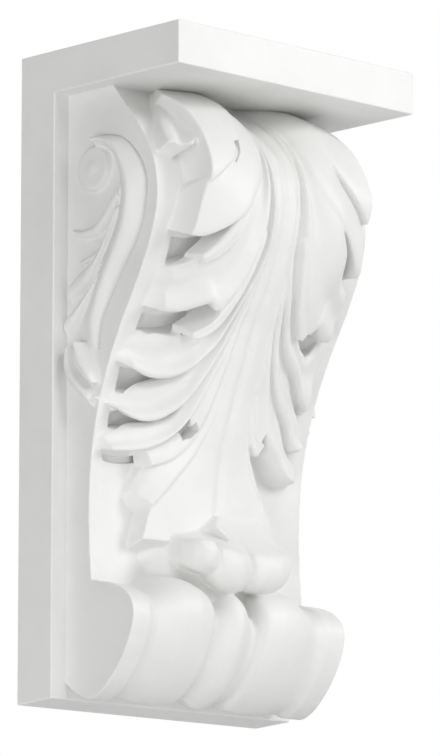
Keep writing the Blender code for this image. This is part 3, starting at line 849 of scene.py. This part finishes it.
# Left and right are shaped apart, each as the right side and then turned over for the left
carved = bmesh.new()
for lobes, left in ((leafLobes, True), (rightLobes, False)):
    side = bmesh.new()
    for lobe in lobes.values():
        leafLobe(side, lobe)
    for strip in sideScroll.values():
        scrollStrip(side, strip)
    eye(side)
    if left:
        turnOver(side)
    addInto(carved, side)
ground(carved)
curl(carved)
throat(carved)
roll(carved)
carveBody(carved)
carving = newObject("carving", carved)
print("carving shaped:", len(carving.data.vertices), "points")

cuts = bmesh.new()
for turned in (False, True):
    line = bmesh.new()
    outlineCutter(line, sideScroll["band"]["upper"])
    if turned:
        for pocket in pockets.values():
            pocketCutter(line, pocket)
        turnOver(line)
    addInto(cuts, line)
cutter = newObject("cutter", cuts)

blend = carving.modifiers.new("blend", "REMESH")
blend.mode = "VOXEL"
blend.voxel_size = finish["voxel"] * unit
soften = carving.modifiers.new("soften", "SMOOTH")
soften.factor = finish["softness"]
soften.iterations = finish["smoothing"]
applied(carving)
combined(carving, cutter, "DIFFERENCE")
print("carving blended:", len(carving.data.polygons), "faces")

# Slab and plate, with their small moulded edges
mesh = bmesh.new()
thick, draft = mount["plateThick"], mount["plateDraft"]
outline = [(0, 0), (thick, draft), (thick, slabUnder), (slabDepth, slabUnder), (slabDepth, tall), (0, tall)]
sweep(mesh, outline, half)
bmesh.ops.recalc_face_normals(mesh, faces=mesh.faces)
bmesh.ops.bevel(mesh, geom=mesh.edges[:], offset=mount["edge"] * unit, segments=3, profile=0.5,
                affect="EDGES", material=-1)
bracket = newObject("bracket", mesh)
combined(bracket, carving, "UNION")
dropCrumbs(bracket, finish["crumb"])

# Only the carving is thinned, so the slab and the plate keep their own few flat faces
margin = finish["flatMargin"] * unit
carvedGroup = bracket.vertex_groups.new(name="carved")
front, under = -thick * unit - margin, place(0, 0, slabUnder).z - margin
carvedPoints = [v.index for v in bracket.data.vertices if v.co.y < front and v.co.z < under]
carvedGroup.add(carvedPoints, 1, "REPLACE")
bracket.data.calc_loop_triangles()
print("bracket joined:", len(bracket.data.loop_triangles), "triangles")
thin = bracket.modifiers.new("thin", "DECIMATE")
thin.ratio = min(1, finish["triangles"] / len(bracket.data.loop_triangles))
thin.vertex_group = carvedGroup.name
applied(bracket)
bracket.vertex_groups.clear()
bracket.data.calc_loop_triangles()
print("bracket thinned:", len(bracket.data.loop_triangles), "triangles")
bracket.data.shade_smooth()
bracket.data.set_sharp_from_angle(angle=radians(finish["sharpAngle"]))
flatten = bracket.modifiers.new("flatten", "WEIGHTED_NORMAL")  # wide faces keep their own flat shading
flatten.keep_sharp = True
applied(bracket)


# Primed paint: a slow drift of tone, a fine sprayed grain and slightly polished edges
primedWhite = {
    "clean": (0.825, 0.825, 0.815, 1),
    "aged": (0.765, 0.765, 0.75, 1),
    "polished": (0.87, 0.87, 0.865, 1),
    "drift": 16.0,
    "grain": 620.0,
    "grainDepth": 0.00012,
    "roughness": (0.44, 0.58),
}

# Where each mask of any paint begins and is whole
paintMasks = {
    "aged": (0.38, 0.66),
    "worn": (0.53, 0.62),
    "wornMost": 0.8,
    "fine": (0.3, 0.7),
    "bump": 0.6,
}


def mottleGroup():
    # soft patches and a fine grain, both about 0.5, for any painted surface
    group = bpy.data.node_groups.new("mottle", "ShaderNodeTree")
    group.interface.new_socket(name="Vector", in_out="INPUT", socket_type="NodeSocketVector")
    for name, way in (("Drift", "INPUT"), ("Grain", "INPUT"), ("Patches", "OUTPUT"), ("Fine", "OUTPUT")):
        group.interface.new_socket(name=name, in_out=way, socket_type="NodeSocketFloat")
    begin, end = group.nodes.new("NodeGroupInput"), group.nodes.new("NodeGroupOutput")
    for scale, out, detail, rough in (("Drift", "Patches", 5, 0.62), ("Grain", "Fine", 3, 0.7)):
        noise = group.nodes.new("ShaderNodeTexNoise")
        noise.inputs["Detail"].default_value = detail
        noise.inputs["Roughness"].default_value = rough
        group.links.new(begin.outputs["Vector"], noise.inputs["Vector"])
        group.links.new(begin.outputs[scale], noise.inputs["Scale"])
        group.links.new(noise.outputs["Fac"], end.inputs[out])
    return group


def ranged(tree, source, start, full, least=0.0, most=1.0):
    node = tree.nodes.new("ShaderNodeMapRange")
    for name, value in (("From Min", start), ("From Max", full), ("To Min", least), ("To Max", most)):
        node.inputs[name].default_value = value
    tree.links.new(source, node.inputs["Value"])
    return node.outputs["Result"]


def blended(tree, mask, first, second):
    node = tree.nodes.new("ShaderNodeMix")
    node.data_type = "RGBA"
    tree.links.new(mask, node.inputs["Factor"])
    for name, colour in (("A", first), ("B", second)):
        socket = next(i for i in node.inputs if i.name == name and i.type == "RGBA")
        if isinstance(colour, tuple):
            socket.default_value = colour
        else:
            tree.links.new(colour, socket)
    return next(o for o in node.outputs if o.type == "RGBA")


def painted(name, mottle, settings):
    material = bpy.data.materials.new(name)
    material.use_nodes = True
    tree = material.node_tree
    shader = tree.nodes["Principled BSDF"]
    spread = tree.nodes.new("ShaderNodeGroup")
    spread.node_tree = mottle
    spread.inputs["Drift"].default_value = settings["drift"]
    spread.inputs["Grain"].default_value = settings["grain"]
    where = tree.nodes.new("ShaderNodeTexCoord")
    tree.links.new(where.outputs["Object"], spread.inputs["Vector"])
    aged = ranged(tree, spread.outputs["Patches"], *paintMasks["aged"])
    colour = blended(tree, aged, settings["clean"], settings["aged"])
    if "polished" in settings:
        shape = tree.nodes.new("ShaderNodeNewGeometry")
        worn = ranged(tree, shape.outputs["Pointiness"], *paintMasks["worn"], 0.0, paintMasks["wornMost"])
        colour = blended(tree, worn, colour, settings["polished"])
    tree.links.new(colour, shader.inputs["Base Color"])
    rough = ranged(tree, spread.outputs["Fine"], *paintMasks["fine"], *settings["roughness"])
    tree.links.new(rough, shader.inputs["Roughness"])
    bump = tree.nodes.new("ShaderNodeBump")
    bump.inputs["Distance"].default_value = settings["grainDepth"]
    bump.inputs["Strength"].default_value = paintMasks["bump"]
    tree.links.new(spread.outputs["Fine"], bump.inputs["Height"])
    tree.links.new(bump.outputs["Normal"], shader.inputs["Normal"])
    return material


mottle = mottleGroup()
bracket.data.materials.clear()
bracket.data.materials.append(painted("primedWhite", mottle, primedWhite))
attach(bracket, "root")
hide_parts("console_bracket")
print("bracket painted")

# Studio: a pale floor far below, soft round lights turned to the bracket, and grey surroundings that
# turn white in the quarter behind its far side
studio = {
    "floorDrop": 0.9,
    "floorSize": 6,
    "around": 0.27,
    "whiteWay": (0.69, 0.72, 0.0),
    "whiteFrom": (0.35, 0.75),
    "lights": {
        "keyLight": dict(spot=(1.2, -1.7, 0.8), size=0.9, power=18.0),
        "frontLight": dict(spot=(-0.2, -2.1, 1.05), size=0.9, power=11.5),
        "topLight": dict(spot=(0, -1.0, 2.0), size=1.4, power=5.7),
        "sideLight": dict(spot=(-2.2, -0.5, 0.1), size=1.4, power=7.4),
        "lowSideLight": dict(spot=(-1.85, -0.9, -0.75), size=1.2, power=13.6),
        "lowLight": dict(spot=(0.1, -1.7, -0.75), size=1.0, power=3.1),
    },
}
floorMesh = bmesh.new()
bmesh.ops.create_grid(floorMesh, x_segments=1, y_segments=1, size=studio["floorSize"])
bmesh.ops.translate(floorMesh, verts=floorMesh.verts, vec=(0, 0, low.z - studio["floorDrop"]))
floor = newObject("floor", floorMesh)
paleFloor = {
    "clean": (0.81, 0.81, 0.81, 1),
    "aged": (0.78, 0.78, 0.78, 1),
    "drift": 3.0,
    "grain": 200.0,
    "grainDepth": 0.0002,
    "roughness": (0.85, 0.95),
}
floor.data.materials.append(painted("paleFloor", mottle, paleFloor))


def softLight(name, spot, size, power):
    data = bpy.data.lights.new(name, "AREA")
    data.shape = "DISK"
    data.size = size
    data.energy = power
    light = bpy.data.objects.new(name, data)
    light.location = spot
    light.rotation_euler = (-Vector(spot)).to_track_quat("-Z", "Y").to_euler()
    bpy.context.scene.collection.objects.link(light)


for name, light in studio["lights"].items():
    softLight(name, **light)

world = bpy.data.worlds.new("studio")
world.use_nodes = True
tree = world.node_tree
direction = tree.nodes.new("ShaderNodeTexCoord")
facing = tree.nodes.new("ShaderNodeVectorMath")
facing.operation = "DOT_PRODUCT"
facing.inputs[1].default_value = studio["whiteWay"]
level = tree.nodes.new("ShaderNodeMapRange")
level.interpolation_type = "SMOOTHSTEP"
level.inputs["From Min"].default_value = studio["whiteFrom"][0]
level.inputs["From Max"].default_value = studio["whiteFrom"][1]
level.inputs["To Min"].default_value = studio["around"]
level.inputs["To Max"].default_value = 1.0
tree.links.new(direction.outputs["Generated"], facing.inputs[0])
tree.links.new(facing.outputs["Value"], level.inputs["Value"])
tree.links.new(level.outputs["Result"], tree.nodes["Background"].inputs["Color"])
tree.nodes["Background"].inputs["Strength"].default_value = 1.0
bpy.context.scene.world = world
bpy.context.scene.view_settings.view_transform = "Standard"
print("studio lit:", len(studio["lights"]), "lights")

# Camera, turned and tilted about its target
look = {
    "azimuth": radians(43.904),
    "pitch": 0.1728,
    "distance": 2.251049,
    "target": (-0.005795, -0.060, 0.00107),
    "lens": 234.0,
    "sensor": 36,
    "farEnd": 20,
}
cameraData = bpy.data.cameras.new("camera")
cameraData.lens = look["lens"]
cameraData.sensor_width = look["sensor"]
cameraData.clip_end = look["farEnd"]
camera = bpy.data.objects.new("camera", cameraData)
bpy.context.scene.collection.objects.link(camera)
forward = Vector((sin(look["azimuth"]) * cos(look["pitch"]), cos(look["azimuth"]) * cos(look["pitch"]),
                  sin(look["pitch"])))
camera.location = Vector(look["target"]) - forward * look["distance"]
camera.rotation_euler = forward.to_track_quat("-Z", "Y").to_euler()
bpy.context.scene.camera = camera
print("camera placed")
